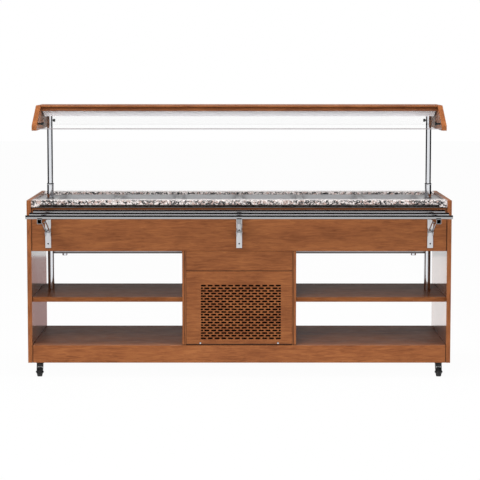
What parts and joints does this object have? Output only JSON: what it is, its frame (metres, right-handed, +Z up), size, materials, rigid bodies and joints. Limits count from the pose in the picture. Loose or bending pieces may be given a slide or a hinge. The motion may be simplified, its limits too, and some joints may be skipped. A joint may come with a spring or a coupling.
{
  "type": "mobile salad bar",
  "caption": "Wooden salad bar on castors with a stone edge, a cooled well of steel pans, a clear lift canopy on telescopic posts and a folding tray slide.",
  "frame": {"origin": "on the floor, under the middle of the whole outline, tray slide included", "axes": "+X along the counter to the guest's right, +Y from the tray slide towards the service side, +Z up"},
  "size_m": [2.23, 1.164, 1.4296],
  "materials": {
    "cherry": "satin",
    "stone": "polished",
    "steel": "satin",
    "chrome": "polished",
    "clear": "gloss",
    "tank": "matte",
    "black_metal": "satin",
    "unit": "matte",
    "wheel": "matte",
    "box": "matte",
    "lamp": "gloss"
  },
  "bodies": {
    "cabinet": {"side_panel_left": "cherry", "side_panel_right": "cherry", "base_board": "cherry", "base_rail_front": "cherry", "base_rail_rear": "cherry", "middle_shelf_left": "cherry", "middle_shelf_right": "cherry", "apron_front": "cherry", "apron_rear": "cherry", "bay_wall_left": "cherry", "bay_wall_right": "cherry", "bay_upper_panel": "cherry", "vent_panel": "cherry", "bay_rear_panel": "cherry", "stone_rail_front": "stone", "stone_rail_rear": "stone", "pan_deck": "steel", "well_tank": "tank", "post_sleeve_left": "chrome", "post_sleeve_right": "chrome", "condenser": "unit", "compressor": "black_metal", "control_box": "box", "bracket_leg_left": "steel", "bracket_leg_centre": "steel", "bracket_leg_right": "steel", "castor_front_left_plate": "black_metal", "castor_front_right_plate": "black_metal", "castor_rear_left_plate": "black_metal", "castor_rear_right_plate": "black_metal"},
    "canopy": {"canopy_end_left": "cherry", "canopy_end_right": "cherry", "canopy_top_board": "cherry", "canopy_rail_front": "cherry", "canopy_rail_rear": "cherry", "clear_panel_front": "clear", "clear_panel_rear": "clear", "lamp_trough": "steel", "lamp_tube": "lamp", "canopy_post_left": "chrome", "canopy_post_right": "chrome"},
    "pan_1": {"pan_1": "steel"},
    "pan_2": {"pan_2": "steel"},
    "pan_3": {"pan_3": "steel"},
    "pan_4": {"pan_4": "steel"},
    "pan_5": {"pan_5": "steel"},
    "pan_6": {"pan_6": "steel"},
    "tray_slide": {"tray_slide": "steel"},
    "tray_struts": {"strut_left": "steel", "strut_centre": "steel", "strut_right": "steel"},
    "condenser_fan": {"condenser_fan": "black_metal"},
    "castor_front_left_swivel": {"castor_front_left_fork": "black_metal"},
    "castor_front_left_wheel": {"castor_front_left_wheel": "wheel"},
    "castor_front_right_swivel": {"castor_front_right_fork": "black_metal"},
    "castor_front_right_wheel": {"castor_front_right_wheel": "wheel"},
    "castor_rear_left_swivel": {"castor_rear_left_fork": "black_metal"},
    "castor_rear_left_wheel": {"castor_rear_left_wheel": "wheel"},
    "castor_rear_right_swivel": {"castor_rear_right_fork": "black_metal"},
    "castor_rear_right_wheel": {"castor_rear_right_wheel": "wheel"}
  },
  "joints": [
    {"name": "canopy_lift", "type": "slide", "parent": "cabinet", "child": "canopy", "axis": [0, 0, 1], "range_m": [-0.355, 0]},
    {"name": "tray_fold", "type": "hinge", "parent": "cabinet", "child": "tray_slide", "pos_m": [0, -0.183, 0.8618], "axis": [1, 0, 0], "range_deg": [0, 80]},
    {"name": "strut_fold", "type": "hinge", "parent": "cabinet", "child": "tray_struts", "pos_m": [0, -0.178, 0.7708], "axis": [1, 0, 0], "range_deg": [0, 104]},
    {"name": "pan_1_lift", "type": "slide", "parent": "cabinet", "child": "pan_1", "axis": [0, 0, 1], "range_m": [0, 0.25]},
    {"name": "pan_2_lift", "type": "slide", "parent": "cabinet", "child": "pan_2", "axis": [0, 0, 1], "range_m": [0, 0.25]},
    {"name": "pan_3_lift", "type": "slide", "parent": "cabinet", "child": "pan_3", "axis": [0, 0, 1], "range_m": [0, 0.25]},
    {"name": "pan_4_lift", "type": "slide", "parent": "cabinet", "child": "pan_4", "axis": [0, 0, 1], "range_m": [0, 0.25]},
    {"name": "pan_5_lift", "type": "slide", "parent": "cabinet", "child": "pan_5", "axis": [0, 0, 1], "range_m": [0, 0.25]},
    {"name": "pan_6_lift", "type": "slide", "parent": "cabinet", "child": "pan_6", "axis": [0, 0, 1], "range_m": [0, 0.25]},
    {"name": "castor_front_left_turn", "type": "hinge", "parent": "cabinet", "child": "castor_front_left_swivel", "pos_m": [-1.057, -0.118, 0.065], "axis": [0, 0, 1], "continuous": true},
    {"name": "castor_front_left_roll", "type": "hinge", "parent": "castor_front_left_swivel", "child": "castor_front_left_wheel", "pos_m": [-1.057, -0.14, 0.026], "axis": [1, 0, 0], "continuous": true},
    {"name": "castor_front_right_turn", "type": "hinge", "parent": "cabinet", "child": "castor_front_right_swivel", "pos_m": [1.057, -0.118, 0.065], "axis": [0, 0, 1], "continuous": true},
    {"name": "castor_front_right_roll", "type": "hinge", "parent": "castor_front_right_swivel", "child": "castor_front_right_wheel", "pos_m": [1.057, -0.14, 0.026], "axis": [1, 0, 0], "continuous": true},
    {"name": "castor_rear_left_turn", "type": "hinge", "parent": "cabinet", "child": "castor_rear_left_swivel", "pos_m": [-1.057, 0.532, 0.065], "axis": [0, 0, 1], "continuous": true},
    {"name": "castor_rear_left_roll", "type": "hinge", "parent": "castor_rear_left_swivel", "child": "castor_rear_left_wheel", "pos_m": [-1.057, 0.51, 0.026], "axis": [1, 0, 0], "continuous": true},
    {"name": "castor_rear_right_turn", "type": "hinge", "parent": "cabinet", "child": "castor_rear_right_swivel", "pos_m": [1.057, 0.532, 0.065], "axis": [0, 0, 1], "continuous": true},
    {"name": "castor_rear_right_roll", "type": "hinge", "parent": "castor_rear_right_swivel", "child": "castor_rear_right_wheel", "pos_m": [1.057, 0.51, 0.026], "axis": [1, 0, 0], "continuous": true},
    {"name": "fan_spin", "type": "hinge", "parent": "cabinet", "child": "condenser_fan", "pos_m": [-0.116, 0.005, 0.3083], "axis": [0, 1, 0], "continuous": true}
  ],
  "couplings": [
    {"joint": "strut_fold", "follows": "tray_fold", "ratio": 1.3}
  ]
}
